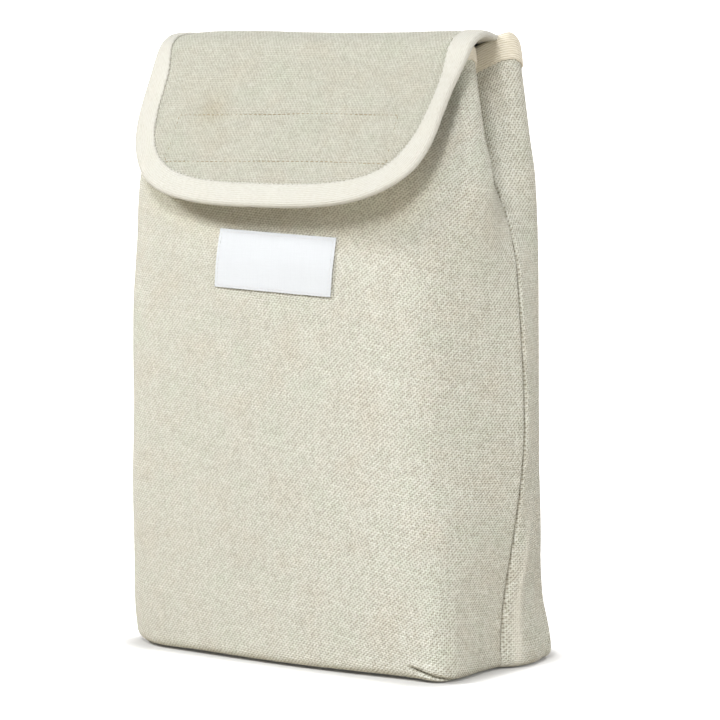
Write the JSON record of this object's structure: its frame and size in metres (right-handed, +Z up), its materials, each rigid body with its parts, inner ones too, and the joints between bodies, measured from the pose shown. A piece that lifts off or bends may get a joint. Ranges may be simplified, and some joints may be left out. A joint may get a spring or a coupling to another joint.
{
  "type": "insulated lunch bag",
  "caption": "Upright insulated linen lunch bag with pleated sides and a bound fold-over flap that closes on hook-and-loop tape.",
  "frame": {"origin": "middle of the base, on the resting plane", "axes": "+X across the bag to its right as seen from the front, +Y from the front to the back, +Z up"},
  "size_m": [0.1902, 0.0979, 0.2761],
  "materials": {
    "linen": "natural linen in a coarse plain weave",
    "wadding": "soft needle-punched wadding",
    "lining": "silvery coated film on cloth",
    "binding_tape": "folded cream binding tape with fine ribs",
    "loop_tape": "fuzzy loop side of closure tape",
    "hook_tape": "hook side of closure tape",
    "label": "plain white woven label, left blank",
    "thread": "cream sewing thread"
  },
  "bodies": {
    "bag": {"outer_front_panel": "linen", "outer_back_panel": "linen", "insulation_front": "wadding", "insulation_back": "wadding", "lining_front": "lining", "lining_back": "lining", "rim_binding": "binding_tape", "loop_tape": "loop_tape", "label": "label", "label_stitching": "thread"},
    "flap_top": {"flap_top_linen": "linen", "flap_top_insulation": "wadding", "flap_top_lining": "lining", "flap_top_binding_left": "binding_tape", "flap_top_binding_right": "binding_tape"},
    "flap_front": {"flap_front_linen": "linen", "flap_front_insulation": "wadding", "flap_front_lining": "lining", "flap_front_binding": "binding_tape", "hook_tape": "hook_tape", "closure_stitching": "thread"}
  },
  "joints": [
    {"name": "flap_hinge", "type": "hinge", "parent": "bag", "child": "flap_top", "pos_m": [0, 0.0215, 0.2736], "axis": [-1, 0, 0], "range_deg": [0, 240]},
    {"name": "flap_fold", "type": "hinge", "parent": "flap_top", "child": "flap_front", "pos_m": [0, -0.01585, 0.27523], "axis": [-1, 0, 0], "range_deg": [0, 64]}
  ]
}
